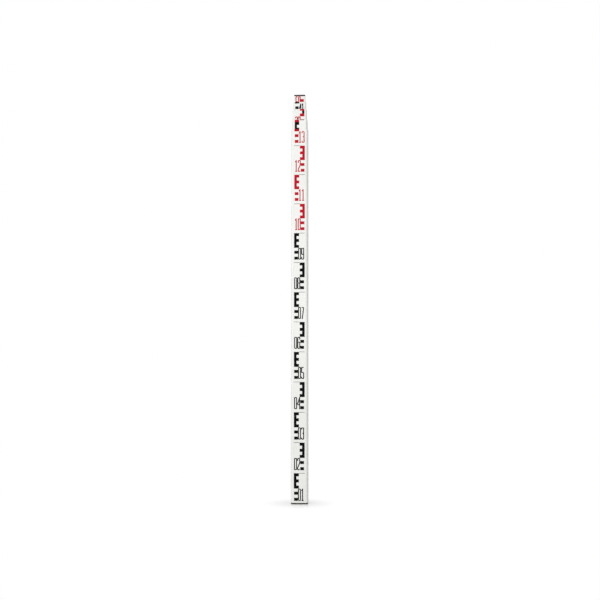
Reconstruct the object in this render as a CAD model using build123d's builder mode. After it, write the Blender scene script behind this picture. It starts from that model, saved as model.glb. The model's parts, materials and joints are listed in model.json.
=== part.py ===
"""Telescopic leveling staff, collapsed: nested tubes, guide bushes, feet with lock buttons, shoe and cap.

Millimetres, +Z up, the scale face looks towards -Y, the origin is the middle of the foot plate's underside.
"""

import os

from build123d import *

# Nested tubes
tube_width = 57.5  # outermost tube, across the scale face
tube_depth = 37.0  # outermost tube, front to back
tube_wall = 1.2
tube_gap = 1.25  # free space between a tube and the one inside it
outer_corner = 8.0  # corner radius of the outermost tube
inner_corner = 3.0  # corner radius of the innermost tube
least_corner = 0.4
face_recess = 0.3  # both scale faces are sunk between two ribs
rib_width = 0.5

# Collapsed heights
first_top = 1257.5
second_rise = 34.0
third_rise = 37.5
fourth_rise = 25.0
fifth_rise = 21.5

# Travel of each inner section to where its button meets the lock hole
second_travel = 1017.0
third_travel = 830.0
fourth_travel = 854.0
fifth_travel = 874.0

# Clearances
fit_clearance = 0.05  # pieces fixed to each other
slide_clearance = 0.3  # pieces that slide on each other
button_clearance = 0.1
seat_gap = 0.2  # a collapsed section stands this far above its seat

# Foot plate and shoe
plate_thickness = 2.4
plate_inset = 0.5
plate_chamfer = 0.4
shoe_rim = 1.2
shoe_plug = 35.0
shoe_floor = 9.0
shoe_wall = 3.0
screw_spacing = 32.0
screw_radius = 2.0
screw_head_radius = 3.7
screw_sink = 0.1
screw_length = 16.0
boss_radius = 4.6
boss_height = 8.0  # above the shoe's floor
socket_radius = 1.45
socket_depth = 1.3

# Feet of the inner sections
foot_flange = 6.0
foot_plug = 68.0
foot_chamfer = 0.8
pocket_floor = 8.0  # solid plug below the pockets
pocket_corner = 0.5
plug_wall = 2.0
block_wall = 3.0

# Blind rivets
rivet_radius = 1.5
rivet_head_radius = 2.4
rivet_tail_radius = 1.9
rivet_tail = 1.6
rivet_sink = 0.05
shoe_rivet_height = 22.0
foot_rivet_low = 14.0
foot_rivet_high = 54.0

# Lock buttons and springs
button_height = 34.0  # above the foot's flange
button_radius = 4.5
button_stand = 1.0  # how far a locked button stands out of the outer tube
button_flange = 1.4
button_flange_radius = 5.6
button_round = 1.0
spigot_radius = 2.6
spigot_length = 1.2
button_press = 1.6  # how much further a held-back button can be pressed in
spring_reserve = 0.5  # coil space left when the button is pressed
spring_radius = 3.5
spring_wire = 0.6
spring_turns = 2.5
spring_gap = 0.05
lock_hole_radius = 4.9

# Guide bushes
bush_height = 30.0
bush_chamfer = 0.4
peg_radius = 3.0
peg_sink = 0.1

# Top cap
cap_height = 5.0
cap_round = 1.5
cap_plug = 25.0
cap_wall = 2.0
cap_roof = 3.0
cap_rivet_depth = 11.0

# Derived heights, one entry for each section from the outermost inwards
rises = [second_rise, third_rise, fourth_rise, fifth_rise]
travels = [0.0, second_travel, third_travel, fourth_travel, fifth_travel]
count = len(travels)
last = count - 1
tube_top = [first_top]
for rise in rises:
    tube_top.append(tube_top[-1] + rise)
foot_bottom = [plate_thickness]
tube_bottom = [plate_thickness + shoe_rim]
seat = [tube_bottom[0] + shoe_plug]
for section in range(1, count):
    foot_bottom.append(seat[section - 1] + seat_gap)
    tube_bottom.append(foot_bottom[section] + foot_flange)
    seat.append(tube_bottom[section] + foot_plug)
button_z = [tube_bottom[section] + button_height for section in range(count)]

# Lock button stations behind a tube's rear face
bore_radius = button_flange_radius + button_clearance
spring_length = spring_turns * spring_wire + button_press + spring_reserve
pop_travel = slide_clearance + tube_wall + button_stand
flange_front = tube_wall + pop_travel
flange_back = flange_front + button_flange
bore_depth = flange_back + spring_length
button_length = flange_back + tube_gap - slide_clearance

below = (Align.CENTER, Align.CENTER, Align.MAX)
above = (Align.CENTER, Align.CENTER, Align.MIN)


def outline(section, inset):
    """Width, depth and corner radius of a section's outline, moved inwards by inset."""
    shrink = 2 * (section * (tube_wall + tube_gap) + inset)
    corner = outer_corner + (inner_corner - outer_corner) * section / last
    return tube_width - shrink, tube_depth - shrink, max(corner - inset, least_corner)


def side_planes(section, inset, heights):
    """Planes on both narrow sides of a section, facing outwards, at each height."""
    half = outline(section, inset)[0] / 2
    return [
        Plane(origin=(side * half, 0, height), x_dir=(0, 1, 0), z_dir=(side, 0, 0))
        for side in (-1, 1)
        for height in heights
    ]


def rear_plane(section, inset, height):
    """Plane on the rear face of a section, facing backwards."""
    half = outline(section, inset)[1] / 2
    return Plane(origin=(0, half, height), x_dir=(1, 0, 0), z_dir=(0, 1, 0))


def rivet_heights(section):
    """Heights of the rivets that hold a section's foot, or the outer tube's shoe."""
    if section == 0:
        return [shoe_rivet_height]
    return [tube_bottom[section] + foot_rivet_low, tube_bottom[section] + foot_rivet_high]


def write(piece, name):
    """Label a finished piece and write its solid."""
    piece.part.label = name
    export_step(piece.part, f"parts/{name}.step")


def make_tube(section):
    """Extruded tube with sunk scale faces, rivet holes, bush holes, lock hole and button hole."""
    width, depth, corner = outline(section, 0)
    heights = rivet_heights(section)
    if section == last:
        heights = heights + [tube_top[last] - cap_rivet_depth]
    with BuildPart() as tube:
        with BuildSketch(Plane.XY.offset(tube_bottom[section])):
            RectangleRounded(width, depth, corner)
            with Locations((0, depth / 2), (0, -depth / 2)):
                Rectangle(width - 2 * (corner + rib_width), 2 * face_recess, mode=Mode.SUBTRACT)
            RectangleRounded(*outline(section, tube_wall), mode=Mode.SUBTRACT)
        extrude(amount=tube_top[section] - tube_bottom[section])
        with Locations(*side_planes(section, 0, heights)):
            CounterSinkHole(
                rivet_radius + fit_clearance,
                rivet_head_radius + rivet_sink + fit_clearance,
                depth=2 * tube_wall,
                counter_sink_angle=90,
            )
        if section < last:
            with Locations(*side_planes(section, 0, [tube_top[section] - bush_height / 2])):
                Hole(peg_radius + fit_clearance, depth=2 * tube_wall)
            with Locations(rear_plane(section, 0, button_z[section + 1] + travels[section + 1])):
                Hole(lock_hole_radius, depth=2 * tube_wall)
        if section > 0:
            with Locations(rear_plane(section, 0, button_z[section])):
                Hole(button_radius + button_clearance, depth=2 * tube_wall)
    return tube


def make_rivets(section, heights, grip_wall):
    """Countersunk blind rivets through both narrow sides, with their tails set inside."""
    grip = tube_wall + fit_clearance + grip_wall - rivet_sink
    planes = side_planes(section, rivet_sink, heights)
    with BuildPart() as rivets:
        with Locations(*planes):
            Cylinder(rivet_radius, grip + rivet_tail, align=below)
            Cone(rivet_radius, rivet_head_radius, rivet_head_radius - rivet_radius, align=below)
        with Locations(*[plane.offset(-grip) for plane in planes]):
            Cylinder(rivet_tail_radius, rivet_tail, align=below)
    return rivets


def make_bush(section):
    """Guide sleeve inside a tube's open end, held by a peg in each narrow side."""
    outer = outline(section, tube_wall + fit_clearance)
    inner = outline(section + 1, -slide_clearance)
    sleeve = (outer[0] - inner[0]) / 2
    with BuildPart() as bush:
        with BuildSketch(Plane.XY.offset(tube_top[section] - bush_height)):
            RectangleRounded(*outer)
            RectangleRounded(*inner, mode=Mode.SUBTRACT)
        extrude(amount=bush_height)
        rim = bush.faces().sort_by(Axis.Z)[0]
        chamfer(rim.outer_wire().edges(), bush_chamfer)
        with Locations(*side_planes(section, peg_sink, [tube_top[section] - bush_height / 2])):
            Cylinder(peg_radius, tube_wall + fit_clearance - peg_sink + sleeve / 2, align=below)
    return bush


def make_foot(section):
    """Foot of an inner section: a guide flange, a plug with two pockets and the button's bore."""
    width, depth, corner = outline(section, tube_wall + fit_clearance)
    block = bore_radius + block_wall
    pocket_width = width / 2 - plug_wall - block
    pocket_x = block + pocket_width / 2
    with BuildPart() as foot:
        with BuildSketch(Plane.XY.offset(foot_bottom[section])):
            RectangleRounded(*outline(section - 1, tube_wall + slide_clearance))
        extrude(amount=foot_flange)
        chamfer(foot.faces().sort_by(Axis.Z)[0].edges(), foot_chamfer)
        with BuildSketch(Plane.XY.offset(tube_bottom[section])):
            RectangleRounded(width, depth, corner)
        extrude(amount=foot_plug)
        with BuildSketch(Plane.XY.offset(tube_bottom[section] + pocket_floor)):
            with Locations((-pocket_x, 0), (pocket_x, 0)):
                RectangleRounded(pocket_width, depth - 2 * plug_wall, pocket_corner)
        extrude(amount=foot_plug - pocket_floor, mode=Mode.SUBTRACT)
        with Locations(rear_plane(section, 0, button_z[section])):
            Hole(bore_radius, depth=bore_depth)
        with Locations(*side_planes(section, tube_wall, rivet_heights(section))):
            Hole(rivet_radius + fit_clearance, depth=2 * plug_wall)
    return foot


def make_button(section):
    """Lock button, held back by the wall of the tube outside, with a flange and a spring spigot."""
    seat_plane = rear_plane(section, flange_back, button_z[section])
    with BuildPart() as button:
        with Locations(seat_plane):
            Cylinder(button_flange_radius, button_flange, align=above)
            Cylinder(button_radius, button_length, align=above)
            Cylinder(spigot_radius, spigot_length, align=below)
        fillet(button.edges().group_by(Axis.Y)[-1], button_round)
    return button


def make_spring(section):
    """Coil spring between the bore's floor and the button's flange."""
    start = rear_plane(section, bore_depth, button_z[section]).origin
    height = spring_length - 2 * spring_gap - spring_wire
    foot_y = start.Y + spring_gap + spring_wire / 2
    with BuildPart() as spring:
        with BuildLine() as coil:
            Helix(
                height / spring_turns,
                height,
                spring_radius,
                center=(0, foot_y, button_z[section]),
                direction=(0, 1, 0),
            )
        with BuildSketch(Plane(origin=coil.line @ 0, z_dir=coil.line % 0)):
            Circle(spring_wire / 2)
        sweep()
    return spring


os.makedirs("parts", exist_ok=True)

# Foot plate
screw_places = [(-screw_spacing / 2, 0), (screw_spacing / 2, 0)]


def screw_planes(height):
    """Downward planes on both screw axes."""
    return [Plane(origin=(x, y, height), z_dir=(0, 0, -1)) for x, y in screw_places]


with BuildPart() as base_plate:
    with BuildSketch():
        RectangleRounded(*outline(0, plate_inset))
    extrude(amount=plate_thickness)
    chamfer(base_plate.faces().sort_by(Axis.Z)[0].edges(), plate_chamfer)
    with Locations(*screw_planes(0)):
        CounterSinkHole(
            screw_radius + fit_clearance,
            screw_head_radius + screw_sink + fit_clearance,
            depth=2 * plate_thickness,
            counter_sink_angle=90,
        )
write(base_plate, "base_plate")

# Shoe in the outer tube's lower end
with BuildPart() as base_shoe:
    with BuildSketch(Plane.XY.offset(plate_thickness)):
        RectangleRounded(*outline(0, 0))
    extrude(amount=shoe_rim)
    with BuildSketch(Plane.XY.offset(tube_bottom[0])):
        RectangleRounded(*outline(0, tube_wall + fit_clearance))
    extrude(amount=shoe_plug)
    with BuildSketch(Plane.XY.offset(plate_thickness + shoe_floor)):
        RectangleRounded(*outline(0, tube_wall + fit_clearance + shoe_wall))
    extrude(amount=seat[0] - shoe_floor - plate_thickness, mode=Mode.SUBTRACT)
    with BuildSketch(Plane.XY.offset(plate_thickness + shoe_floor)):
        with Locations(*screw_places):
            Circle(boss_radius)
    extrude(amount=boss_height)
    with Locations(*screw_planes(plate_thickness)):
        Hole(screw_radius + fit_clearance, depth=screw_length)
    with Locations(*side_planes(0, tube_wall, rivet_heights(0))):
        Hole(rivet_radius + fit_clearance, depth=2 * shoe_wall)
write(base_shoe, "base_shoe")

# Countersunk screws that hold the plate to the shoe
with BuildPart() as base_screws:
    with Locations(*screw_planes(screw_sink)):
        Cylinder(screw_radius, screw_length, align=below)
        Cone(screw_radius, screw_head_radius, screw_head_radius - screw_radius, align=below)
    with BuildSketch(*screw_planes(screw_sink)):
        RegularPolygon(socket_radius, 6)
    extrude(amount=-socket_depth, mode=Mode.SUBTRACT)
write(base_screws, "base_screws")

write(make_rivets(0, rivet_heights(0), shoe_wall), "shoe_rivets")

for section in range(count):
    number = section + 1
    write(make_tube(section), f"section_{number}_tube")
    if section < last:
        write(make_bush(section), f"guide_bush_{number}")
    if section > 0:
        write(make_foot(section), f"foot_{number}")
        write(make_rivets(section, rivet_heights(section), plug_wall), f"foot_rivets_{number}")
        write(make_button(section), f"lock_button_{number}")
        write(make_spring(section), f"lock_spring_{number}")

# Cap in the innermost tube's upper end
with BuildPart() as top_cap:
    with BuildSketch(Plane.XY.offset(tube_top[last])):
        RectangleRounded(*outline(last, 0))
    extrude(amount=cap_height)
    fillet(top_cap.faces().sort_by(Axis.Z)[-1].edges(), cap_round)
    with BuildSketch(Plane.XY.offset(tube_top[last])):
        RectangleRounded(*outline(last, tube_wall + fit_clearance))
    extrude(amount=-cap_plug)
    with BuildSketch(Plane.XY.offset(tube_top[last] - cap_plug)):
        RectangleRounded(*outline(last, tube_wall + fit_clearance + cap_wall))
    extrude(amount=cap_plug + cap_height - cap_roof, mode=Mode.SUBTRACT)
    with Locations(*side_planes(last, tube_wall, [tube_top[last] - cap_rivet_depth])):
        Hole(rivet_radius + fit_clearance, depth=2 * cap_wall)
write(top_cap, "top_cap")

write(make_rivets(last, [tube_top[last] - cap_rivet_depth], cap_wall), "cap_rivets")

print("sections", count, "collapsed height", tube_top[last] + cap_height)
print("extended height", tube_top[last] + cap_height + sum(travels))
print("button heights", [round(height, 3) for height in button_z[1:]])
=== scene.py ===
"""Dresses a collapsed telescopic leveling staff: lacquer, printed scales, mouldings, hardware and studio."""

import json
import logging
import math
from dataclasses import dataclass
from enum import Enum

import bpy
from bpy.types import Collection, Material, NodeSocket, NodeTree, Object
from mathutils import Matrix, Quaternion, Vector

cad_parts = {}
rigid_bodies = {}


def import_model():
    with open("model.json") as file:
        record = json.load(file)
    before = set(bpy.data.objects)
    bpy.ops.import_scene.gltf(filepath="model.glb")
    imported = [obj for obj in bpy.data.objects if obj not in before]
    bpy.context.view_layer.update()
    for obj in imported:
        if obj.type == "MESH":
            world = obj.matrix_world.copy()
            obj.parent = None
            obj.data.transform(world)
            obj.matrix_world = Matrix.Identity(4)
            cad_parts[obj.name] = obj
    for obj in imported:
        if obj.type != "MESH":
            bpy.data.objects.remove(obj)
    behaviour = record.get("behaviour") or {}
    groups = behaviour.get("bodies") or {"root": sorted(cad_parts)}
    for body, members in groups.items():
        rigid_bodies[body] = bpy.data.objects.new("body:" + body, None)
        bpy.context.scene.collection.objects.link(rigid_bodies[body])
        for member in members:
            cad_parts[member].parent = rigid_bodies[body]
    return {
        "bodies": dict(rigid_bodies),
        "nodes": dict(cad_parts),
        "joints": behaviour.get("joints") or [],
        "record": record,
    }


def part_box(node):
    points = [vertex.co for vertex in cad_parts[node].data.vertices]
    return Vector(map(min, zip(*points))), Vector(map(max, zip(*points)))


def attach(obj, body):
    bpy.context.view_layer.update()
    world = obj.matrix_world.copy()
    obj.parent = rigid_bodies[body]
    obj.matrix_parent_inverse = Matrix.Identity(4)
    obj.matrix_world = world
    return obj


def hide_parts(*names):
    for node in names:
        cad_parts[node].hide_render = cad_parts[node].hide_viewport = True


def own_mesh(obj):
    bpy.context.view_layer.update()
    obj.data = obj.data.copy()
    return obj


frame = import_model()

MM = 0.001
CENTIMETRE = 10 * MM
DECIMETRE = 100 * MM
BAND = 10  # decimetres in a row that share an ink
ROUNDING = 0.001  # share of a division by which a tube's end may miss it
WHOLE, REAL = "FunctionNodeIntegerMath", "ShaderNodeMath"  # nodes for sums of whole and of real numbers
Pair = tuple[float, float]
Sockets = dict[str, NodeSocket]
Values = dict[str, object]
log = logging.getLogger("leveling_staff")


class Face(Enum):
    """A section's two scale faces, each with its turn about +Z from the front."""

    FRONT = 0.0
    REAR = math.pi


class Ink(Enum):
    """The two printing inks, each with the band of numbers that it prints, counted modulo two."""

    BLACK = 0
    RED = 1


def linear(colour: str) -> tuple[float, float, float, float]:
    """Turn a colour into the values that Blender's shaders take.

    Args:
        colour: sRGB colour as #RRGGBB.

    Returns:
        Linear red, green, blue and an alpha of 1.
    """
    channels = [int(colour[place : place + 2], 16) / 255 for place in (1, 3, 5)]
    red, green, blue = (c / 12.92 if c <= 0.04045 else ((c + 0.055) / 1.055) ** 2.4 for c in channels)
    return red, green, blue, 1.0


def add_node(
    tree: NodeTree, kind: str, inputs: dict | tuple = (), out: int | str = 0, **settings: object
) -> NodeSocket | None:
    """Add one node, with its settings made and its inputs set or linked.

    Args:
        tree: Node tree that gets the node.
        kind: Blender's name of the node type.
        inputs: Input values, or the output sockets to link: in order, or by socket name or number.
        out: Name or number of the output to return.
        settings: Properties of the node itself.

    Returns:
        The chosen output socket, or None for a node without outputs.
    """
    node = tree.nodes.new(kind)
    for name, value in settings.items():
        setattr(node, name, value)
    places = inputs if isinstance(inputs, dict) else dict(enumerate(inputs))
    for place, value in places.items():
        if isinstance(value, NodeSocket):
            tree.links.new(value, node.inputs[place])
        else:
            node.inputs[place].default_value = value
    return node.outputs[out] if len(node.outputs) else None


def start_tree(name: str, kinds: dict[str, tuple[str, ...]]) -> tuple[NodeTree, Sockets]:
    """Begin a geometry tree with its own named inputs and those that end_tree needs.

    Args:
        name: Name of the tree.
        kinds: Names of its own inputs, by socket type.

    Returns:
        The tree and its inputs' sockets by name.
    """
    tree = bpy.data.node_groups.new(name, "GeometryNodeTree")
    inputs = [(kind, label) for kind, labels in kinds.items() for label in labels]
    for kind, label in inputs + [("Float", "Plane"), ("Float", "Turn"), ("Material", "Material")]:
        tree.interface.new_socket(name=label, in_out="INPUT", socket_type=f"NodeSocket{kind}")
    tree.interface.new_socket(name="Geometry", in_out="OUTPUT", socket_type="NodeSocketGeometry")
    group = add_node(tree, "NodeGroupInput").node
    return tree, {socket.name: socket for socket in group.outputs if socket.name}


def end_tree(tree: NodeTree, given: Sockets, flat: NodeSocket) -> NodeTree:
    """Stand a print or a coil up on its face, make it real, give it its finish and end the tree.

    Args:
        tree: The geometry tree.
        given: The tree's inputs.
        flat: What lies on the XY plane, with its outer side towards +Z.

    Returns:
        The finished tree.
    """
    upright = add_node(tree, "ShaderNodeCombineXYZ", {"X": math.pi / 2, "Z": given["Turn"]})
    place = add_node(tree, "ShaderNodeCombineXYZ", {"Y": given["Plane"]})
    turned = {"Geometry": flat, "Translation": place, "Rotation": upright}
    stood = add_node(tree, "GeometryNodeTransform", turned)
    real = add_node(tree, "GeometryNodeRealizeInstances", (stood,))
    inked = add_node(tree, "GeometryNodeSetMaterial", {"Geometry": real, "Material": given["Material"]})
    add_node(tree, "NodeGroupOutput", (inked,))
    return tree


def grow(name: str, tree: NodeTree, values: Values) -> Object | None:
    """Run a geometry tree and keep what it makes as a plain mesh.

    Args:
        name: Name of the new piece.
        tree: Finished geometry tree.
        values: Value of each named input.

    Returns:
        The piece, or None if the tree made nothing.
    """
    piece = bpy.data.objects.new(name, bpy.data.meshes.new(name))
    bpy.context.scene.collection.objects.link(piece)
    modifier = piece.modifiers.new(name, "NODES")
    modifier.node_group = tree
    for item in tree.interface.items_tree:
        if item.in_out == "INPUT":
            modifier[item.identifier] = values[item.name]
    graph = bpy.context.evaluated_depsgraph_get()
    mesh = bpy.data.meshes.new_from_object(piece.evaluated_get(graph))
    piece.modifiers.remove(modifier)
    if not mesh.polygons:
        bpy.data.objects.remove(piece)
        return None
    mesh.name = name
    piece.data = mesh
    return piece


@dataclass(frozen=True)
class Finish:
    """A surface finish: colour and gloss that drift over patches, and a grain that stands up a little."""

    name: str
    colour: str
    roughness: float
    patch_colour: str
    metallic: float = 0.0
    specular: float = 0.5
    patch: float = 2.5 * MM
    patch_detail: float = 3.0
    patch_twist: float = 0.0
    patch_rise: Pair = (0.4, 0.75)  # noise at which a patch begins and is full
    patch_share: float = 1.0  # of the patches' colour where they are full
    gloss_patch: float = 1.0  # size of a patch of gloss beside one of colour
    gloss_detail: float = 0.0  # more detail than the colour's
    gloss_rise: Pair = (0.0, 1.0)
    gloss_drift: Pair = (-0.1, 0.1)
    grain: float = 0.5 * MM
    grain_length: float = 0.5 * MM  # along the staff
    grain_detail: float = 0.0
    relief: float = 0.2
    relief_depth: float = 0.01 * MM

    def material(self) -> Material:
        """Build the material, or find it if it was built before.

        Returns:
            The material with its node tree.
        """
        found = bpy.data.materials.get(self.name)
        if found:
            return found
        material = bpy.data.materials.new(self.name)
        material.use_nodes = True
        tree = material.node_tree
        shader = tree.nodes["Principled BSDF"]
        shader.inputs["Metallic"].default_value = self.metallic
        shader.inputs["Specular IOR Level"].default_value = self.specular
        for name, socket in self.dress(tree).items():
            tree.links.new(socket, shader.inputs[name])
        return material

    def dress(self, tree: NodeTree) -> Sockets:
        """Add the patches of colour and gloss, and the grain.

        Args:
            tree: The material's node tree.

        Returns:
            What goes into each of the shader's inputs.
        """
        where = add_node(tree, "ShaderNodeTexCoord", out="Object")
        gloss_range = [self.roughness + drift for drift in self.gloss_drift]
        patches = []
        for size, detail, rise, ends in (
            (1.0, 0.0, self.patch_rise, (0.0, self.patch_share)),
            (self.gloss_patch, self.gloss_detail, self.gloss_rise, gloss_range),
        ):
            cloud = {"Vector": where, "Scale": 1 / (self.patch * size), "Detail": self.patch_detail + detail}
            noise = add_node(tree, "ShaderNodeTexNoise", cloud | {"Distortion": self.patch_twist})
            patches.append(add_node(tree, "ShaderNodeMapRange", (noise, *rise, *ends)))
        share, gloss = patches
        tones = {0: share, 6: linear(self.colour), 7: linear(self.patch_colour)}
        colour = add_node(tree, "ShaderNodeMix", tones, out=2, data_type="RGBA")
        stand = {"Height": self.height(tree, where), "Strength": self.relief, "Distance": self.relief_depth}
        bump = add_node(tree, "ShaderNodeBump", stand)
        return {"Base Color": colour, "Roughness": gloss, "Normal": bump}

    def height(self, tree: NodeTree, where: NodeSocket) -> NodeSocket:
        """Draw the grain.

        Args:
            tree: The material's node tree.
            where: Place on the piece.

        Returns:
            The surface's height there.
        """
        fine = (1 / self.grain, 1 / self.grain, 1 / self.grain_length)
        drawn = add_node(tree, "ShaderNodeMapping", {0: where, 3: fine})
        grain = {"Vector": drawn, "Scale": 1.0, "Detail": self.grain_detail}
        return add_node(tree, "ShaderNodeTexNoise", grain)


@dataclass(frozen=True)
class StoveLacquer(Finish):
    """White stove lacquer on extruded aluminium.

    It gives the eye an even, half-gloss white with a faint orange peel over the die's long lines, and
    bright saw-cut metal on the tube ends.
    """

    metal: str = "#C4C6C8"
    end_slope: float = 0.9  # how squarely a cut end looks up or down
    patch: float = 90 * MM
    patch_rise: Pair = (0.35, 0.7)
    patch_share: float = 0.6
    gloss_patch: float = 1 / 6
    gloss_detail: float = 1.0
    gloss_rise: Pair = (0.3, 0.7)
    gloss_drift: Pair = (-0.05, 0.07)
    grain: float = 0.7 * MM
    grain_length: float = 250 * MM
    grain_detail: float = 2.0
    grain_share: float = 0.5  # of the die lines' height beside the peel's
    peel: float = 1.6 * MM
    peel_detail: float = 1.0
    relief: float = 0.25
    relief_depth: float = 0.02 * MM

    def dress(self, tree: NodeTree) -> Sockets:
        """Add bare metal on the cut ends to the rest.

        Args:
            tree: The material's node tree.

        Returns:
            What goes into each of the shader's inputs.
        """
        looks = super().dress(tree)
        normal = add_node(tree, "ShaderNodeTexCoord", out="Normal")
        level = add_node(tree, "ShaderNodeSeparateXYZ", (normal,), out="Z")
        steep = add_node(tree, REAL, (level,), operation="ABSOLUTE")
        cut = add_node(tree, REAL, (steep, self.end_slope), operation="GREATER_THAN")
        ends = {0: cut, 6: looks["Base Color"], 7: linear(self.metal)}
        colour = add_node(tree, "ShaderNodeMix", ends, out=2, data_type="RGBA")
        return looks | {"Base Color": colour, "Metallic": cut}

    def height(self, tree: NodeTree, where: NodeSocket) -> NodeSocket:
        """Lay orange peel over the die lines.

        Args:
            tree: The material's node tree.
            where: Place on the piece.

        Returns:
            The surface's height there.
        """
        lines = super().height(tree, where)
        uneven = {"Vector": where, "Scale": 1 / self.peel, "Detail": self.peel_detail}
        peel = add_node(tree, "ShaderNodeTexNoise", uneven)
        return add_node(tree, REAL, (lines, self.grain_share, peel), operation="MULTIPLY_ADD")


@dataclass(frozen=True)
class ScreenInk(Finish):
    """Screen-printed enamel ink.

    It gives the eye a dense, matte colour whose film is a little uneven, and keeps the lacquer's gloss out.
    The screen's own threads are about 0.1 mm apart, so its grain is drawn five times coarser to show.
    """

    specular: float = 0.04
    grain: float = 0.5 * MM


@dataclass(frozen=True)
class MouldedNylon(Finish):
    """Injection-moulded nylon from a spark-eroded mould.

    It gives the eye a fine, dull pebble with slow changes of gloss where the melt flowed.
    """

    patch: float = 12 * MM
    patch_detail: float = 2.0
    patch_twist: float = 0.8
    patch_rise: Pair = (0.4, 0.8)
    gloss_drift: Pair = (-0.08, 0.08)
    grain: float = 0.6 * MM
    grain_length: float = 0.6 * MM
    grain_detail: float = 2.0
    relief: float = 0.4
    relief_depth: float = 0.03 * MM


@dataclass(frozen=True)
class WorkedMetal(Finish):
    """A worked or plated metal.

    It gives the eye a mirror dulled by fine tool lines, and duller patches where hands and dirt have been.
    """

    metallic: float = 1.0
    patch: float = 3 * MM
    patch_detail: float = 4.0
    patch_rise: Pair = (0.5, 0.75)
    gloss_drift: Pair = (-0.08, 0.1)
    grain: float = 0.25 * MM
    grain_length: float = 6.67 * MM
    grain_detail: float = 1.0


FINISHES: dict[str, Finish] = {
    "white_lacquer": StoveLacquer("white_stove_lacquer", "#F0F0ED", 0.4, "#E6E6E2"),
    "black_ink": ScreenInk("black_screen_ink", "#060607", 0.6, "#0B0B0C"),
    "red_ink": ScreenInk("red_screen_ink", "#BA1628", 0.6, "#C22032"),
    "black_nylon": MouldedNylon("black_moulded_nylon", "#0B0B0C", 0.6, "#111113", specular=0.2),
    "natural_nylon": MouldedNylon("natural_moulded_nylon", "#DEDDD5", 0.45, "#E8E7E1"),
    "black_steel": WorkedMetal("black_oxide_steel", "#141415", 0.45, "#1E1D1D"),
    "zinc_steel": WorkedMetal("zinc_plated_steel", "#B8BBBF", 0.3, "#A3A7A6"),
    "spring_steel": WorkedMetal("drawn_spring_steel", "#8D8F92", 0.3, "#7C7A76"),
    "rivet_aluminium": WorkedMetal("set_aluminium_rivet", "#CDCED0", 0.35, "#BCBDBE"),
    "nickel_brass": WorkedMetal("nickel_plated_brass", "#C9C4B8", 0.22, "#B9AF98"),
}


@dataclass
class Section:
    """One tube of the staff and the stretch of scale that it carries."""

    number: int
    high: Vector
    shift: float  # scale reading less height, collapsed
    first_reading: float  # reading at which its print starts
    full_print: float = 17.9 * MM  # half the width of the outermost section's print
    inner_print: float = 16.4 * MM  # and of the others', where their faces hold it
    print_margin: float = 0.1 * MM
    black_slip: float = -0.65 * MM  # how far the outermost section's squares and numbers sit off centre
    red_slip: float = 0.2 * MM
    red_register: float = 0.45 * MM  # how far its red screen as a whole lies to the right
    outer_corner: float = 8.0 * MM
    corner_step: float = 1.25 * MM
    rib: float = 0.5 * MM
    recess: float = 0.3 * MM

    @property
    def body(self) -> str:
        """Name of the body that carries the tube."""
        return f"section_{self.number}"

    @property
    def last_reading(self) -> float:
        """Reading at the tube's upper end."""
        return self.high.z + self.shift

    @property
    def face_half(self) -> float:
        """Half the width of the sunk scale face."""
        corner = self.outer_corner - (self.number - 1) * self.corner_step
        return self.high.x - corner - self.rib

    @property
    def print_half(self) -> float:
        """Half the width of this section's print."""
        widest = self.full_print if self.number == 1 else self.inner_print
        return min(widest, self.face_half - self.print_margin)

    @property
    def stretch(self) -> float:
        """Width of this section's print as a share of the full print."""
        return self.print_half / self.full_print

    def slip(self, ink: Ink) -> float:
        """How far this section's squares and numbers in one ink sit to the right of the Es' middle."""
        slips = {Ink.BLACK: self.black_slip, Ink.RED: self.red_slip}
        return slips[ink] if self.number == 1 else 0.0

    def register(self, ink: Ink) -> float:
        """How far this section's print in one ink lies to the right of the face's middle."""
        return self.red_register if self.number == 1 and ink is Ink.RED else 0.0

    def face_depth(self, face: Face) -> float:
        """Y of the sunk scale face."""
        return (self.high.y - self.recess) * (-1 if face is Face.FRONT else 1)


@dataclass
class Staff:
    """The telescoping tubes, read from the frame, and the finishes of all CAD pieces."""

    joint_overlap: float = 10 * MM
    foot_margin: float = 0.5 * MM

    def sections(self) -> list[Section]:
        """List the tubes from the outermost inwards.

        Returns:
            Each tube with its place and its stretch of scale.
        """
        travel = {joint["child"]: joint["range_m"][1] for joint in frame["joints"]}
        found: list[Section] = []
        shift = 0.0
        for number in range(1, sum(name.startswith("section_") for name in frame["bodies"]) + 1):
            low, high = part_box(f"section_{number}_tube")
            shift += travel.get(f"section_{number}", 0.0)
            first = found[-1].last_reading - self.joint_overlap if found else low.z + self.foot_margin
            found.append(Section(number, high, shift, first))
        return found

    def dress(self) -> None:
        """Give every CAD piece the finish that its slot in the record names."""
        for subpart in frame["record"]["subparts"]:
            node = frame["nodes"][subpart["node"]]
            finish = FINISHES[subpart["material_slot"]].material()
            if not node.material_slots:
                node.data.materials.append(finish)
            for slot in node.material_slots:
                slot.material = finish
            log.info("finish %s on %s", finish.name, node.name)


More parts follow.
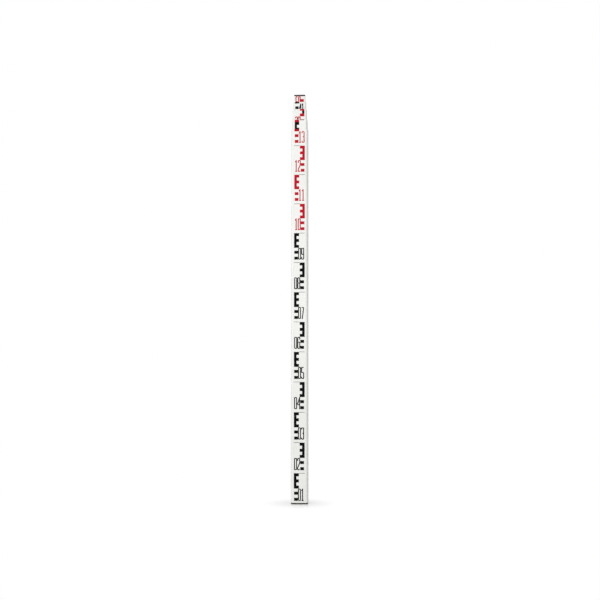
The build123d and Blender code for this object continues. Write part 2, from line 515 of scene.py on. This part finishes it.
@dataclass
class LockSprings:
    """The coil springs behind the lock buttons, drawn anew as helices of round wire."""

    sections: list[Section]
    wire: float = 0.6 * MM
    turns: float = 2.5
    steps: int = 24  # points in a turn
    sides: int = 10

    def tree(self) -> NodeTree:
        """Build the tree: a helix of round wire that stands on its foot.

        Returns:
            The geometry tree.
        """
        kinds = {"Int": ("Steps", "Sides"), "Float": ("Radius", "Rise", "Turns", "Wire", "Height")}
        tree, given = start_tree("coil_spring", kinds)
        wound = (given["Steps"], given["Turns"], given["Radius"], given["Radius"], given["Rise"])
        helix = add_node(tree, "GeometryNodeCurveSpiral", wound)
        half = add_node(tree, REAL, (given["Wire"], 0.5), operation="MULTIPLY")
        round_wire = {"Resolution": given["Sides"], "Radius": half}
        rod = add_node(tree, "GeometryNodeCurvePrimitiveCircle", round_wire)
        swept = {"Curve": helix, "Profile Curve": rod, "Fill Caps": True}
        coil = add_node(tree, "GeometryNodeCurveToMesh", swept)
        spot = add_node(tree, "ShaderNodeCombineXYZ", {"Y": given["Height"]})
        placed = add_node(tree, "GeometryNodeTransform", {"Geometry": coil, "Translation": spot})
        return end_tree(tree, given, placed)

    def build(self) -> None:
        """Draw each spring in its CAD solid's place, carried by its section, and hide the CAD solid."""
        tree = self.tree()
        for section in self.sections[1:]:
            node, joint = f"lock_spring_{section.number}", f"button_{section.number}_press"
            low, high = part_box(node)
            middle, length = (low.z + high.z) / 2, high.y - low.y
            values = {
                "Steps": self.steps,
                "Sides": self.sides,
                "Radius": (high.x - low.x - self.wire) / 2,
                "Rise": length - self.wire,
                "Turns": self.turns,
                "Wire": self.wire,
                "Height": middle,
                "Plane": low.y + self.wire / 2,
                "Turn": Face.REAR.value,
                "Material": FINISHES["spring_steel"].material(),
            }
            piece = grow(f"lock_coil_{section.number}", tree, values)
            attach(piece, section.body)
            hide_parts(node)
            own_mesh(piece)


@dataclass
class Print:
    """What all printed scales share: how ink lies on a sunk face and rides with its tube."""

    sections: list[Section]
    film: float = 0.1 * MM  # several times a real film, so that it doesn't flicker on the lacquer
    bed: float = 0.02 * MM  # how far the film's underside lies in the lacquer

    def lay(self, name: str, tree: NodeTree, section: Section, face: Face, ink: Ink, values: Values) -> None:
        """Print one piece on a section's face and let it ride there.

        Args:
            name: First part of the piece's name.
            tree: Geometry tree that draws it.
            section: Tube that carries it.
            face: Face that it lies on.
            ink: Ink that it is printed in.
            values: The tree's own inputs, and any others that differ here.
        """
        depth = section.face_depth(face)
        slot = f"{ink.name.lower()}_ink"
        shared = {
            "Film": self.film + self.bed,
            "Shift": section.shift,
            "Plane": depth - math.copysign(self.bed, depth),
            "Turn": face.value,
            "Material": FINISHES[slot].material(),
        }
        piece = grow(f"{name}_{ink.name.lower()}_{section.number}", tree, shared | values)
        if piece is None:
            return
        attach(piece, section.body)
        log.info("printed %s with %d faces on %s", piece.name, len(piece.data.polygons), section.body)


@dataclass
class EScale(Print):
    """The front's checked E graduation: two squares and an E in each decimetre, left and right in turn."""

    e_width: float = 16.7 * MM
    spine: float = 8.6 * MM
    square: float = 12.55 * MM
    square_inset: float = 1.45 * MM
    weld: float = 0.001 * MM
    columns: int = 9
    # Ink columns of each centimetre in a decimetre, counted from the print's outer edge.
    first_column: tuple[int, ...] = (0, 1, 0, 1, 0, 0, 0, 0, 0, 0)
    last_column: tuple[int, ...] = (-1, 2, -1, 2, -1, 3, 1, 3, 1, 3)

    def tree(self) -> NodeTree:
        """Build the tree: a grid of centimetre cells, thinned by rule, sized and given its thickness.

        Returns:
            The geometry tree.
        """
        heights = ("Low", "High", "Shift", "Film")
        widths = ("Half", "E Width", "Spine", "Square", "Inset", "Slip", "Register")
        kinds = {"Int": ("First", "Rows", "Band"), "Float": heights + widths}
        tree, given = start_tree("e_graduation", kinds)
        edges = add_node(tree, WHOLE, (given["Rows"], 1), operation="ADD")
        size = (self.columns, given["Rows"], self.columns + 1, edges)
        grid = add_node(tree, "GeometryNodeMeshGrid", size)
        position = add_node(tree, "GeometryNodeInputPosition")
        across = add_node(tree, "ShaderNodeSeparateXYZ", (position,), out="X")
        along = add_node(tree, "ShaderNodeSeparateXYZ", (position,), out="Y")
        across = add_node(tree, REAL, (across, self.columns / 2), operation="ADD")
        along = add_node(tree, REAL, (given["Rows"], 0.5, along), operation="MULTIPLY_ADD")

        # Each cell's place in its decimetre, and its column counted from the outer edge
        column = add_node(tree, "FunctionNodeFloatToInt", (across,), rounding_mode="FLOOR")
        row = add_node(tree, "FunctionNodeFloatToInt", (along,), rounding_mode="FLOOR")
        centimetre = add_node(tree, WHOLE, (row, given["First"]), operation="ADD")
        decimetre = add_node(tree, WHOLE, (centimetre, 10), operation="DIVIDE_FLOOR")
        label = add_node(tree, WHOLE, (decimetre, 1), operation="ADD")
        cell = add_node(tree, WHOLE, (centimetre, 10), operation="FLOORED_MODULO")
        odd = add_node(tree, WHOLE, (label, 2), operation="FLOORED_MODULO")
        band = add_node(tree, WHOLE, (label, BAND), operation="DIVIDE_FLOOR")
        band = add_node(tree, WHOLE, (band, 2), operation="FLOORED_MODULO")
        mirrored = add_node(tree, WHOLE, (self.columns - 1, column), operation="SUBTRACT")
        inward = add_node(tree, "GeometryNodeSwitch", (odd, mirrored, column), input_type="INT")

        # Each corner's place in the grid, and its column counted from the nearer edge
        column = add_node(tree, "FunctionNodeFloatToInt", (across,), rounding_mode="ROUND")
        row = add_node(tree, "FunctionNodeFloatToInt", (along,), rounding_mode="ROUND")
        opposite = add_node(tree, WHOLE, (self.columns, column), operation="SUBTRACT")
        nearer = add_node(tree, WHOLE, (column, opposite), operation="MINIMUM")
        inner = add_node(tree, REAL, (given["Inset"], given["Square"]), operation="ADD")
        steps = (0.0, given["Inset"], given["Spine"], inner, given["E Width"])

        # First and last ink column of the cell's centimetre, and the corner's distance from the edge
        chosen = []
        limits = ((cell, "INT", self.first_column), (cell, "INT", self.last_column))
        for index, kind, options in (*limits, (nearer, "FLOAT", steps)):
            choice = add_node(tree, "GeometryNodeIndexSwitch", {"Index": index}, data_type=kind)
            while len(choice.node.index_switch_items) < len(options):
                choice.node.index_switch_items.new()
            for socket, option in zip(choice.node.inputs[1:], options):
                if isinstance(option, NodeSocket):
                    tree.links.new(option, socket)
                else:
                    socket.default_value = option
            chosen.append(choice)
        first, last, step = chosen

        # Cells without this ink go
        blank = False
        tests = ((inward, first, "LESS_THAN"), (inward, last, "GREATER_THAN"))
        for value, limit, relation in (*tests, (band, given["Band"], "NOT_EQUAL")):
            pair = {2: value, 3: limit}
            test = add_node(tree, "FunctionNodeCompare", pair, data_type="INT", operation=relation)
            blank = add_node(tree, "FunctionNodeBooleanMath", (blank, test), operation="OR")
        cells = add_node(tree, "GeometryNodeDeleteGeometry", (grid, blank), domain="FACE")

        # Real places of the corners
        left = add_node(tree, REAL, (step, given["Half"]), operation="SUBTRACT")
        right = add_node(tree, REAL, (given["Half"], step), operation="SUBTRACT")
        sides = {2: column, 3: (self.columns + 1) // 2}
        on_left = add_node(tree, "FunctionNodeCompare", sides, data_type="INT", operation="LESS_THAN")
        x = add_node(tree, "GeometryNodeSwitch", (on_left, right, left), input_type="FLOAT")
        of_square = add_node(tree, WHOLE, (nearer, 2), operation="FLOORED_MODULO")
        x = add_node(tree, REAL, (of_square, given["Slip"], x), operation="MULTIPLY_ADD")
        x = add_node(tree, REAL, (x, given["Register"]), operation="ADD")
        reading = add_node(tree, WHOLE, (row, given["First"]), operation="ADD")
        reading = add_node(tree, REAL, (reading, CENTIMETRE), operation="MULTIPLY")
        reading = add_node(tree, "ShaderNodeClamp", (reading, given["Low"], given["High"]))
        y = add_node(tree, REAL, (reading, given["Shift"]), operation="SUBTRACT")
        place = add_node(tree, "ShaderNodeCombineXYZ", (x, y))
        sheet = add_node(tree, "GeometryNodeSetPosition", {"Geometry": cells, "Position": place})

        # A closed film: raised faces above, the same faces turned over below
        lift = {"Offset": (0.0, 0.0, 1.0), "Offset Scale": given["Film"], "Individual": False}
        raised = add_node(tree, "GeometryNodeExtrudeMesh", {"Mesh": sheet, **lift})
        below = add_node(tree, "GeometryNodeFlipFaces", (sheet,))
        both = add_node(tree, "GeometryNodeJoinGeometry", (raised,))
        tree.links.new(below, both.node.inputs[0])
        closed = add_node(tree, "GeometryNodeMergeByDistance", {"Geometry": both, "Distance": self.weld})
        return end_tree(tree, given, closed)

    def build(self) -> None:
        """Print every section's stretch of the graduation in both inks."""
        tree = self.tree()
        for section in self.sections:
            first = math.floor(section.first_reading / CENTIMETRE)
            rows = math.ceil(section.last_reading / CENTIMETRE - ROUNDING) - first
            for ink in Ink:
                values = {
                    "First": first,
                    "Rows": rows,
                    "Band": ink.value,
                    "Low": section.first_reading,
                    "High": section.last_reading,
                    "Half": section.print_half,
                    "E Width": self.e_width * section.stretch,
                    "Spine": self.spine * section.stretch,
                    "Square": self.square * section.stretch,
                    "Inset": self.square_inset * section.stretch,
                    "Slip": section.slip(ink),
                    "Register": section.register(ink),
                }
                self.lay("e_scale", tree, section, Face.FRONT, ink, values)


@dataclass(frozen=True)
class Lettering:
    """How a set of numbers is drawn: how many digits each has, and the digits' sizes."""

    places: int
    width: float
    gap: float
    height: float
    stroke: float
    corner: float
    corner_steps: int

    def values(self, first: int, last: int, stretch: float = 1.0) -> Values:
        """Give the inputs of the numbers' tree that follow from these sizes.

        Args:
            first: First number.
            last: Last number.
            stretch: Share of the full width that the digits have.

        Returns:
            Value of each such input.
        """
        return {
            "First": first,
            "Count": last - first + 1,
            "Places": self.places,
            "Advance": (self.width + self.gap) * stretch,
            "Width": self.width * stretch,
            "Height": self.height,
            "Stroke": self.stroke,
            "Round": self.corner,
            "Steps": self.corner_steps,
        }


@dataclass
class Numerals(Print):
    """Stroke numerals: tall decimetre numbers on the front, small centimetre numbers by the rear ticks."""

    front: Lettering = Lettering(2, 10.1 * MM, 0.3 * MM, 40 * MM, 3.3 * MM, 1.8 * MM, 3)
    front_foot: float = 10 * MM  # from the decimetre's lower end to the number
    front_inset: float = 1.15 * MM  # from the print's edge to the number
    rear: Lettering = Lettering(3, 1.7 * MM, 0.4 * MM, 3.2 * MM, 0.36 * MM, 0.3 * MM, 1)
    rear_inset: float = 6.3 * MM  # from the face's edge to the number

    # Each further stroke of a digit lies this much higher, so that no two tops lie in one plane.
    LAYER = 0.015 * MM
    # Centre lines of the ten digits in a unit square. A closed line ends where it starts, and an upright end
    # that stands free reaches half a front stroke past the square.
    STROKES = {
        0: [[(0, 0), (1, 0), (1, 1), (0, 1), (0, 0)]],
        1: [[(0, 0.86), (0.5, 1)], [(0.5, 1.045), (0.5, 0)], [(0, 0), (1, 0)]],
        2: [[(0, 0.78), (0, 1), (1, 1), (1, 0.6), (0, 0.16), (0, 0), (1, 0)]],
        3: [[(0, 0.86), (0, 1), (1, 1), (1, 0), (0, 0), (0, 0.14)], [(0.4, 0.53), (1, 0.53)]],
        4: [[(0.95, 1), (-0.15, 0.36), (1, 0.36)], [(0.95, 1.045), (0.95, -0.045)]],
        5: [[(1, 1), (0, 1), (0, 0.53), (1, 0.53), (1, 0), (0, 0), (0, 0.16)]],
        6: [[(1, 0.8), (1, 1), (0, 1), (0, 0), (1, 0), (1, 0.56), (0.12, 0.56)]],
        7: [[(0, 1), (1, 1), (0.33, -0.045)]],
        8: [
            [(0, 0), (1, 0), (1, 0.47), (0.86, 0.52), (1, 0.57), (1, 1)]
            + [(0, 1), (0, 0.57), (0.14, 0.52), (0, 0.47), (0, 0)],
            [(0.2, 0.52), (0.8, 0.52)],
        ],
        9: [[(0, 0.2), (0, 0), (1, 0), (1, 1), (0, 1), (0, 0.44), (0.88, 0.44)]],
    }

    def templates(self) -> Collection:
        """Make the ten digits' centre lines, in order of their names.

        Returns:
            A collection of wire meshes.
        """
        digits = bpy.data.collections.new("digit_strokes")
        for digit, strokes in self.STROKES.items():
            points: list[tuple[float, float, float]] = []
            edges: list[tuple[int, int]] = []
            for layer, stroke in enumerate(strokes):
                closed = stroke[0] == stroke[-1]
                start = len(points)
                points += [(x, y, layer * self.LAYER) for x, y in (stroke[:-1] if closed else stroke)]
                edges += [(place, place + 1) for place in range(start, len(points) - 1)]
                if closed:
                    edges.append((len(points) - 1, start))
            wire = bpy.data.meshes.new(f"stroke_{digit}")
            wire.from_pydata(points, edges, [])
            digits.objects.link(bpy.data.objects.new(f"stroke_{digit}", wire))
        return digits

    def tree(self) -> NodeTree:
        """Build the tree: each digit of each number set on its point, then drawn as a rounded stroke of ink.

        Returns:
            The geometry tree.
        """
        counts = ("First", "Count", "Places", "Band Size", "Band", "Steps")
        places = ("Pitch", "Rise", "Shift", "Left", "Right", "Advance")
        sizes = ("Width", "Height", "Stroke", "Round", "Film")
        kinds = {"Int": counts, "Float": places + sizes, "Bool": ("Swap",), "Collection": ("Digits",)}
        tree, given = start_tree("numerals", kinds)
        index = add_node(tree, "GeometryNodeInputIndex")
        order = add_node(tree, WHOLE, (index, given["Places"]), operation="DIVIDE_FLOOR")
        label = add_node(tree, WHOLE, (order, given["First"]), operation="ADD")
        place = add_node(tree, WHOLE, (index, given["Places"]), operation="FLOORED_MODULO")
        last = add_node(tree, WHOLE, (given["Places"], 1), operation="SUBTRACT")
        power = add_node(tree, WHOLE, (last, place), operation="SUBTRACT")
        unit = add_node(tree, WHOLE, (10, power), operation="POWER")
        digit = add_node(tree, WHOLE, (label, unit), operation="DIVIDE_FLOOR")
        digit = add_node(tree, WHOLE, (digit, 10), operation="FLOORED_MODULO")
        band = add_node(tree, WHOLE, (label, given["Band Size"]), operation="DIVIDE_FLOOR")
        band = add_node(tree, WHOLE, (band, 2), operation="FLOORED_MODULO")
        pair = {2: band, 3: given["Band"]}
        shown = add_node(tree, "FunctionNodeCompare", pair, data_type="INT", operation="EQUAL")

        # Odd numbers stand on the right, and even ones on the left where they swap sides
        odd = add_node(tree, WHOLE, (label, 2), operation="FLOORED_MODULO")
        on_left = add_node(tree, "FunctionNodeBooleanMath", (given["Swap"], odd), operation="NIMPLY")
        half = add_node(tree, REAL, (given["Stroke"], 0.5), operation="MULTIPLY")
        sides = (on_left, given["Right"], given["Left"])
        start = add_node(tree, "GeometryNodeSwitch", sides, input_type="FLOAT")
        start = add_node(tree, REAL, (start, half), operation="ADD")
        x = add_node(tree, REAL, (place, given["Advance"], start), operation="MULTIPLY_ADD")
        foot = add_node(tree, REAL, (given["Rise"], given["Shift"]), operation="SUBTRACT")
        foot = add_node(tree, REAL, (foot, half), operation="ADD")
        y = add_node(tree, REAL, (label, given["Pitch"], foot), operation="MULTIPLY_ADD")
        spot = add_node(tree, "ShaderNodeCombineXYZ", (x, y))
        total = add_node(tree, WHOLE, (given["Count"], given["Places"]), operation="MULTIPLY")
        points = add_node(tree, "GeometryNodePoints", (total, spot))

        # The digits' centre lines, at their size
        wide = add_node(tree, REAL, (given["Width"], given["Stroke"]), operation="SUBTRACT")
        tall = add_node(tree, REAL, (given["Height"], given["Stroke"]), operation="SUBTRACT")
        scale = add_node(tree, "ShaderNodeCombineXYZ", (wide, tall, 1.0))
        apart = {"Collection": given["Digits"], "Separate Children": True, "Reset Children": True}
        digits = add_node(tree, "GeometryNodeCollectionInfo", apart)
        picked = {"Instance": digits, "Pick Instance": True, "Instance Index": digit}
        spread = {"Points": points, "Selection": shown, "Scale": scale, **picked}
        lines = add_node(tree, "GeometryNodeInstanceOnPoints", spread)
        wires = add_node(tree, "GeometryNodeRealizeInstances", (lines,))
        curves = add_node(tree, "GeometryNodeMeshToCurve", (wires,))

        # A flat band of ink along them
        bend = {"Count": given["Steps"], "Radius": given["Round"], "Limit Radius": True}
        rounded = add_node(tree, "GeometryNodeFilletCurve", {"Curve": curves, **bend}, mode="POLY")
        flat = add_node(tree, "GeometryNodeSetCurveNormal", (rounded,), mode="Z_UP")
        edges = (given["Stroke"], given["Film"])
        profile = add_node(tree, "GeometryNodeCurvePrimitiveQuadrilateral", edges)
        swept = {"Curve": flat, "Profile Curve": profile, "Fill Caps": True}
        inked = add_node(tree, "GeometryNodeCurveToMesh", swept)
        level = add_node(tree, "GeometryNodeSetShadeSmooth", {"Geometry": inked, "Shade Smooth": False})
        lift = add_node(tree, REAL, (given["Film"], 0.5), operation="MULTIPLY")
        lift = add_node(tree, "ShaderNodeCombineXYZ", {"Z": lift})
        lifted = add_node(tree, "GeometryNodeTransform", {"Geometry": level, "Translation": lift})
        return end_tree(tree, given, lifted)

    def front_values(self, section: Section, ink: Ink) -> Values:
        """Set out every whole decimetre number that fits on a section.

        Args:
            section: The tube.
            ink: Ink whose numbers are printed.

        Returns:
            The tree's own inputs, apart from the digits.
        """
        foot, top = self.front_foot, self.front_foot + self.front.height
        first = math.ceil((section.first_reading - foot) / DECIMETRE) + 1
        last = math.floor((section.last_reading - top) / DECIMETRE + ROUNDING) + 1
        sizes = self.front.values(first, last, section.stretch)
        middle = section.slip(ink) + section.register(ink)
        edge = section.print_half - self.front_inset * section.stretch
        return sizes | {
            "Band Size": BAND,
            "Band": ink.value,
            "Pitch": DECIMETRE,
            "Rise": foot - DECIMETRE,
            "Left": middle - edge,
            "Right": middle + edge - sizes["Advance"] - sizes["Width"],
            "Swap": True,
        }

    def rear_values(self, section: Section) -> Values:
        """Set out a number at every centimetre of a section.

        Args:
            section: The tube.

        Returns:
            The tree's own inputs, apart from the digits.
        """
        first = math.ceil((section.first_reading + self.rear.height) / CENTIMETRE)
        last = math.floor((section.last_reading - self.rear.height) / CENTIMETRE)
        sizes = self.rear.values(first, last)
        return sizes | {
            "Band Size": 10**self.rear.places,
            "Band": Ink.BLACK.value,
            "Pitch": CENTIMETRE,
            "Rise": -self.rear.height / 2,
            "Left": 0.0,
            "Right": section.face_half - self.rear_inset - 2 * sizes["Advance"] - sizes["Width"],
            "Swap": False,
        }

    def build(self) -> None:
        """Print the numbers of both faces, and clear the digits' centre lines away."""
        tree = self.tree()
        digits = self.templates()
        for section in self.sections:
            for ink in Ink:
                values = self.front_values(section, ink) | {"Digits": digits}
                self.lay("numerals", tree, section, Face.FRONT, ink, values)
        for section in self.sections:
            values = self.rear_values(section) | {"Digits": digits}
            self.lay("rear_numerals", tree, section, Face.REAR, Ink.BLACK, values)
        for wire in list(digits.objects):
            bpy.data.objects.remove(wire)
        bpy.data.collections.remove(digits)


@dataclass(frozen=True)
class Mark:
    """A block of ink near a tube's upper end: its edges on the full print, its place below that end."""

    section: int
    ink: Ink
    left: float
    right: float
    top: float
    height: float


@dataclass
class Bars(Print):
    """All plain printed bars: the front's decimetre lines, the rear's millimetre ticks and the end marks.

    The end marks lie over the scale near two tubes' upper ends, where the next tube's scale begins. The thin
    black one on section 2, right under its upper end, is partly painted shade along that tube's rim.
    """

    line: float = 1.3 * MM
    line_clear: float = 10 * MM  # no decimetre line is nearer than this to a tube's upper end
    line_length: float = 18.6 * MM
    tick: float = 0.25 * MM
    tick_edge: float = 1.2 * MM
    tick_lengths: tuple[float, float, float] = (2.5 * MM, 3.5 * MM, 4.5 * MM)
    mark_film: float = 0.15 * MM
    marks_and_rim_shade: tuple[Mark, ...] = (
        Mark(2, Ink.RED, -17.9 * MM, -1.4 * MM, 0.4 * MM, 8.1 * MM),
        # Thin black bar right under section 2's upper end: partly a printed mark, partly painted shade
        # darkening the line along that tube's rim.
        Mark(2, Ink.BLACK, 1.4 * MM, 17.9 * MM, 0.4 * MM, 1.8 * MM),
        Mark(3, Ink.BLACK, 9.7 * MM, 17.9 * MM, 6.0 * MM, 10.0 * MM),
    )

    def tree(self) -> NodeTree:
        """Build the tree: a bar on each point, longer at every fifth and tenth.

        Returns:
            The geometry tree.
        """
        sizes = ("Pitch", "Shift", "Edge", "Short", "Middle", "Long", "Stroke", "Film")
        tree, given = start_tree("bars", {"Int": ("First", "Count"), "Bool": ("Swap",), "Float": sizes})
        index = add_node(tree, "GeometryNodeInputIndex")
        label = add_node(tree, WHOLE, (index, given["First"]), operation="ADD")
        length = given["Short"]
        for step, longer in ((5, given["Middle"]), (10, given["Long"])):
            rest = add_node(tree, WHOLE, (label, step), operation="FLOORED_MODULO")
            length = add_node(tree, "GeometryNodeSwitch", (rest, longer, length), input_type="FLOAT")
        inner = add_node(tree, REAL, (length, -0.5, given["Edge"]), operation="MULTIPLY_ADD")
        odd = add_node(tree, WHOLE, (label, 2), operation="FLOORED_MODULO")
        on_left = add_node(tree, "FunctionNodeBooleanMath", (given["Swap"], odd), operation="NIMPLY")
        mirrored = add_node(tree, REAL, (0.0, inner), operation="SUBTRACT")
        x = add_node(tree, "GeometryNodeSwitch", (on_left, inner, mirrored), input_type="FLOAT")
        reading = add_node(tree, REAL, (label, given["Pitch"]), operation="MULTIPLY")
        y = add_node(tree, REAL, (reading, given["Shift"]), operation="SUBTRACT")
        lift = add_node(tree, REAL, (given["Film"], 0.5), operation="MULTIPLY")
        spot = add_node(tree, "ShaderNodeCombineXYZ", (x, y, lift))
        points = add_node(tree, "GeometryNodePoints", (given["Count"], spot))
        size = add_node(tree, "ShaderNodeCombineXYZ", (length, given["Stroke"], given["Film"]))
        bar = add_node(tree, "GeometryNodeMeshCube", {"Size": (1.0, 1.0, 1.0)})
        spread = {"Points": points, "Instance": bar, "Scale": size}
        bars = add_node(tree, "GeometryNodeInstanceOnPoints", spread)
        return end_tree(tree, given, bars)

    def build(self) -> None:
        """Print the lines and ticks of all sections, and then the marks, each as a row of one bar."""
        tree = self.tree()
        for section in self.sections:
            line_lengths = (self.line_length * section.stretch,) * 3
            tick_edge = section.face_half - self.tick_edge
            for face, pitch, clear, stroke, edge, lengths in (
                (Face.FRONT, DECIMETRE, self.line_clear, self.line, section.print_half, line_lengths),
                (Face.REAR, MM, self.tick, self.tick, tick_edge, self.tick_lengths),
            ):
                first = math.ceil((section.first_reading + stroke) / pitch)
                last = math.floor((section.last_reading - clear) / pitch)
                values = {
                    "First": first,
                    "Count": last - first + 1,
                    "Swap": face is Face.FRONT,
                    "Pitch": pitch,
                    "Edge": edge,
                    "Stroke": stroke,
                    **dict(zip(("Short", "Middle", "Long"), lengths)),
                }
                name = "decimetre_lines" if face is Face.FRONT else "rear_ticks"
                self.lay(name, tree, section, face, Ink.BLACK, values)
        for mark in self.marks_and_rim_shade:
            section = self.sections[mark.section - 1]
            length = (mark.right - mark.left) * section.stretch
            values = {
                "First": 1,
                "Count": 1,
                "Swap": False,
                "Pitch": section.last_reading - mark.top - mark.height / 2,
                "Edge": mark.right * section.stretch,
                "Stroke": mark.height,
                "Film": self.mark_film + self.bed,
                **dict.fromkeys(("Short", "Middle", "Long"), length),
            }
            self.lay("end_mark", tree, section, Face.FRONT, mark.ink, values)


@dataclass(frozen=True)
class Lamp:
    """A wide soft lamp: its power in watts, its width, its place and whether it lights the floor."""

    name: str
    power: float
    width: float
    place: tuple[float, float, float]
    on_floor: bool = True


@dataclass
class Studio:
    """White floor, soft light and the camera of the photograph."""

    distance: float = 3.0
    azimuth: float = math.radians(4.0)
    eye: float = 0.43
    aim: tuple[float, float, float] = (0.0009, 0.0, 0.6751)
    lens: float = 53.55
    sensor: float = 36.0
    roll: float = math.radians(0.032)
    white: str = "#FFFFFF"
    sky: float = 0.5
    lamps: tuple[Lamp, ...] = (
        Lamp("key", 79.0, 2.4, (-1.5, -3.6, 1.3)),
        Lamp("rear_fill", 58.0, 2.0, (-0.9, 4.0, 1.3), on_floor=False),
    )
    floor_size: float = 12.0
    floor_colour: str = "#F0F0F0"
    floor_roughness: float = 0.1
    floor_specular: float = 0.7
    fade_to: float = 0.13  # how far out from the staff the floor is plain white
    least_white: float = 0.15  # share of plain white in the floor's look, next to the staff

    def build(self) -> None:
        """Set up the world, floor, lamps and camera."""
        bpy.context.scene.view_settings.view_transform = "Standard"
        self.light_world()
        self.hang_lamps(self.lay_floor())
        self.place_camera()

    def seen(self, tree: NodeTree) -> NodeSocket:
        """Tell the rays that show the surroundings from those that only light the staff.

        Args:
            tree: Node tree of the world or the floor.

        Returns:
            1 for rays of the camera, of gloss and through glass, and 0 for the rest.
        """
        path = add_node(tree, "ShaderNodeLightPath").node.outputs
        shows = path["Is Camera Ray"]
        for kind in ("Is Glossy Ray", "Is Transmission Ray"):
            shows = add_node(tree, REAL, (shows, path[kind]), operation="MAXIMUM")
        return shows

    def light_world(self) -> None:
        """Make the surroundings white to the eye and in gloss, and softer as light."""
        world = bpy.data.worlds.new("white_studio")
        world.use_nodes = True
        tree = world.node_tree
        strength = add_node(tree, "ShaderNodeMapRange", {0: self.seen(tree), 3: self.sky, 4: 1.0})
        tree.links.new(strength, tree.nodes["Background"].inputs["Strength"])
        tree.nodes["Background"].inputs["Color"].default_value = linear(self.white)
        bpy.context.scene.world = world

    def lay_floor(self) -> Object:
        """Lay a white acrylic sheet that takes the staff's shadow and runs out into the white background.

        Returns:
            The floor.
        """
        half = self.floor_size / 2
        mesh = bpy.data.meshes.new("floor")
        corners = [(-half, -half, 0), (half, -half, 0), (half, half, 0), (-half, half, 0)]
        mesh.from_pydata(corners, [], [(0, 1, 2, 3)])
        floor = bpy.data.objects.new("floor", mesh)
        bpy.context.scene.collection.objects.link(floor)
        material = bpy.data.materials.new("white_acrylic_sheet")
        material.use_nodes = True
        tree = material.node_tree
        shader = tree.nodes["Principled BSDF"]
        shader.inputs["Base Color"].default_value = linear(self.floor_colour)
        shader.inputs["Roughness"].default_value = self.floor_roughness
        shader.inputs["Specular IOR Level"].default_value = self.floor_specular
        where = add_node(tree, "ShaderNodeTexCoord", out="Object")
        far = add_node(tree, "ShaderNodeVectorMath", (where,), out="Value", operation="LENGTH")
        outwards = (far, 0.0, self.fade_to, self.least_white)
        fade = add_node(tree, "ShaderNodeMapRange", outwards, interpolation_type="SMOOTHSTEP")
        white = add_node(tree, REAL, (fade, self.seen(tree)), operation="MULTIPLY")
        glow = add_node(tree, "ShaderNodeEmission", {"Color": linear(self.white), "Strength": 1.0})
        mixed = add_node(tree, "ShaderNodeMixShader", (white, shader.outputs[0], glow))
        tree.links.new(mixed, tree.nodes["Material Output"].inputs["Surface"])
        mesh.materials.append(material)
        return floor

    def hang_lamps(self, floor: Object) -> None:
        """Hang the key to the left of the camera and a fill behind the staff, both turned to its middle.

        Args:
            floor: The floor, which the fill leaves alone so that the key's shadow stays.
        """
        spared = bpy.data.collections.new("spared_by_fill")
        spared.objects.link(floor)
        spared.collection_objects[0].light_linking.link_state = "EXCLUDE"
        for lamp in self.lamps:
            data = bpy.data.lights.new(lamp.name, "AREA")
            data.shape = "SQUARE"
            data.size = lamp.width
            data.energy = lamp.power
            hung = bpy.data.objects.new(lamp.name, data)
            hung.location = lamp.place
            hung.rotation_euler = (Vector(self.aim) - hung.location).to_track_quat("-Z", "Y").to_euler()
            if not lamp.on_floor:
                hung.light_linking.receiver_collection = spared
            bpy.context.scene.collection.objects.link(hung)

    def place_camera(self) -> None:
        """Put the camera where the photograph was taken from."""
        data = bpy.data.cameras.new("camera")
        data.lens = self.lens
        data.sensor_width = self.sensor
        camera = bpy.data.objects.new("camera", data)
        aside, back = self.distance * math.sin(self.azimuth), self.distance * math.cos(self.azimuth)
        camera.location = (aside, -back, self.eye)
        level = (Vector(self.aim) - camera.location).to_track_quat("-Z", "Y")
        camera.rotation_euler = (level @ Quaternion((0.0, 0.0, 1.0), self.roll)).to_euler()
        bpy.context.scene.collection.objects.link(camera)
        bpy.context.scene.camera = camera


def main() -> None:
    """Dress the staff, wind its springs, print its scales and set up the studio."""
    logging.basicConfig(level=logging.INFO, format="%(name)s: %(message)s")
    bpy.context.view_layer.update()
    staff = Staff()
    staff.dress()
    sections = staff.sections()
    LockSprings(sections).build()
    EScale(sections).build()
    Bars(sections).build()
    Numerals(sections).build()
    Studio().build()


if __name__ == "__main__":
    main()
